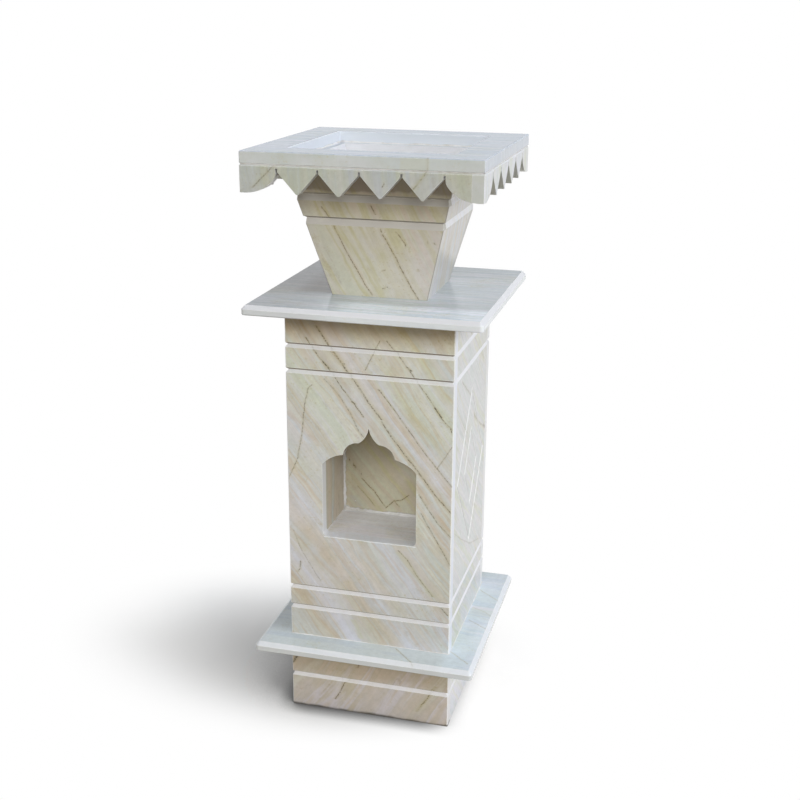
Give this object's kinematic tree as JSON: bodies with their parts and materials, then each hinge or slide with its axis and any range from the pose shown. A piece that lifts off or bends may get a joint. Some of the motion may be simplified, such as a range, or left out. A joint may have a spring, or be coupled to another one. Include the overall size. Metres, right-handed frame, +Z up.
{
  "type": "tulsi vrindavan planter",
  "caption": "Square marble pedestal planter with a cusped lamp niche, projecting slabs, a tapered pot and a rim with a toothed skirt.",
  "frame": {"origin": "on the ground at the middle of the foot", "axes": "+Z up, -Y out of the niche, +X to the right of someone facing the niche"},
  "size_m": [0.364, 0.364, 0.914],
  "materials": {
    "marble_shaft": "polished beige marble with diagonal pink and olive bands",
    "marble_slab": "polished pale grey-cream marble",
    "marble_lining": "honed beige marble",
    "marble_pot": "polished beige marble with fine brown veins",
    "marble_head": "polished grey-cream marble"
  },
  "bodies": {
    "root": {"foot_front": "marble_shaft", "foot_right": "marble_shaft", "foot_back": "marble_shaft", "foot_left": "marble_shaft", "lower_slab": "marble_slab", "column_front": "marble_shaft", "column_right": "marble_shaft", "column_back": "marble_shaft", "column_left": "marble_shaft", "niche_shelf": "marble_lining", "niche_cheek_left": "marble_lining", "niche_cheek_right": "marble_lining", "niche_back": "marble_lining", "niche_roof": "marble_lining", "upper_slab": "marble_slab", "pot_front": "marble_pot", "pot_right": "marble_pot", "pot_back": "marble_pot", "pot_left": "marble_pot", "pot_floor": "marble_pot", "rim_slab": "marble_head", "skirt_front": "marble_head", "skirt_right": "marble_head", "skirt_back": "marble_head", "skirt_left": "marble_head"}
  },
  "joints": []
}
